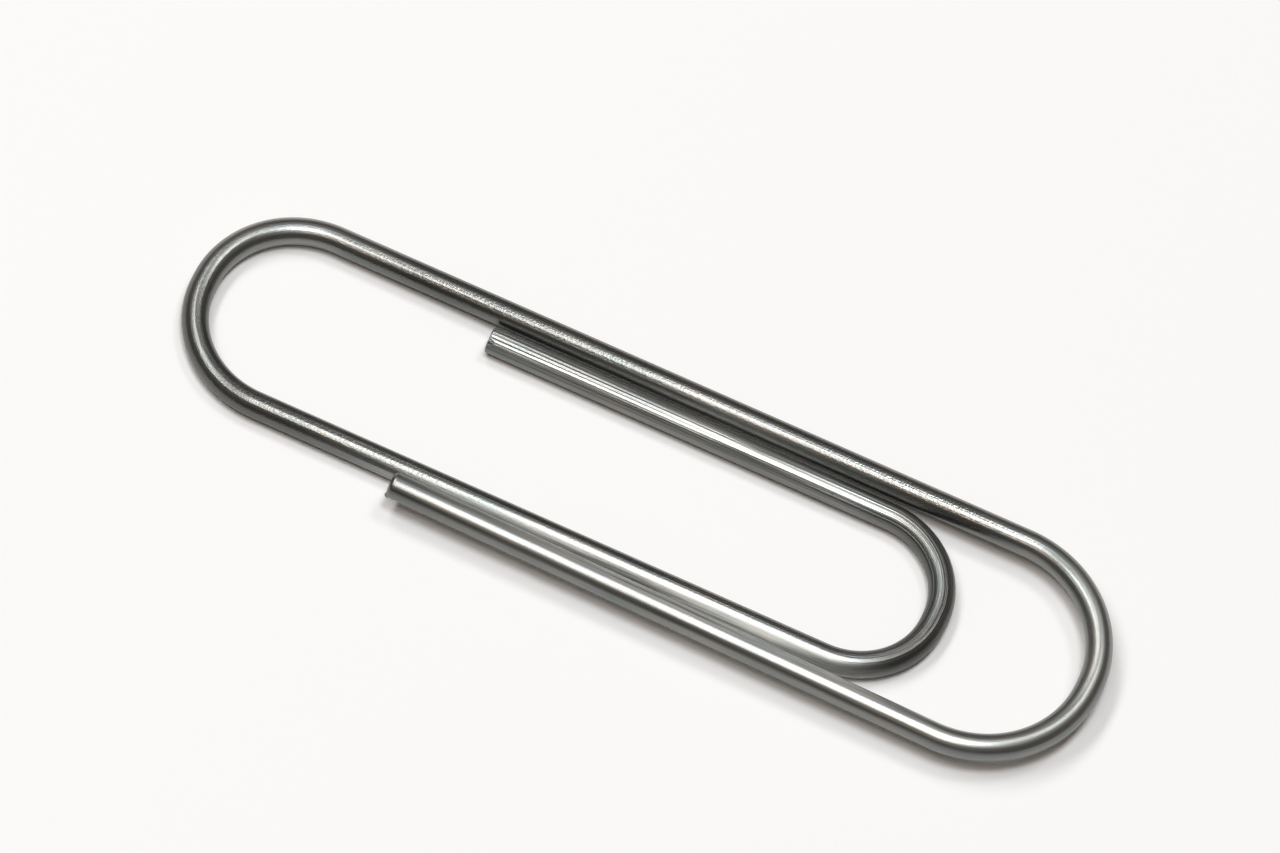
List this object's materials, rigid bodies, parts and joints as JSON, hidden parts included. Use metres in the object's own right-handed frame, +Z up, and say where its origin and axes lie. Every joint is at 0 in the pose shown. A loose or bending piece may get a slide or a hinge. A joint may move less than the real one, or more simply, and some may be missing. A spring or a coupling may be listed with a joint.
{
  "type": "paper clip",
  "caption": "Gem paper clip of bright zinc-plated steel wire: an outer loop and an inner tongue that springs away from it to grip sheets of paper.",
  "frame": {"origin": "on the table the clip lies on, under the middle of its bounding box", "axes": "+X from the return bend to the outer bend, along the clip; +Y from the tongue leg to the long leg; +Z up from the table"},
  "size_m": [0.033, 0.009, 0.0015],
  "materials": {
    "zinc_plated_steel": "bright drawn wire, zinc plated"
  },
  "bodies": {
    "loop": {"long_leg": "zinc_plated_steel", "outer_bend_long_half": "zinc_plated_steel", "return_bend_long_half": "zinc_plated_steel"},
    "outer_arm": {"outer_leg": "zinc_plated_steel", "outer_bend_free_half": "zinc_plated_steel"},
    "tongue": {"tongue_leg": "zinc_plated_steel", "return_bend_tongue_half": "zinc_plated_steel", "tongue_bend_leg_half": "zinc_plated_steel"},
    "tip": {"tip_leg": "zinc_plated_steel", "tongue_bend_tip_half": "zinc_plated_steel"}
  },
  "joints": [
    {"name": "tongue_lift", "type": "hinge", "parent": "loop", "child": "tongue", "pos_m": [-0.01607, 0.00065, 0.00046], "axis": [0, -1, 0], "range_deg": [-8, 8], "stiffness_Nm_per_rad": 0.24},
    {"name": "outer_leg_lift", "type": "hinge", "parent": "loop", "child": "outer_arm", "pos_m": [0.01607, -0.00008, 0.00096], "axis": [0, 1, 0], "range_deg": [-6, 6], "stiffness_Nm_per_rad": 0.25},
    {"name": "tip_lift", "type": "hinge", "parent": "tongue", "child": "tip", "pos_m": [0.01052, 0.00011, 0.00046], "axis": [0, 1, 0], "range_deg": [-6, 6], "stiffness_Nm_per_rad": 0.33}
  ]
}
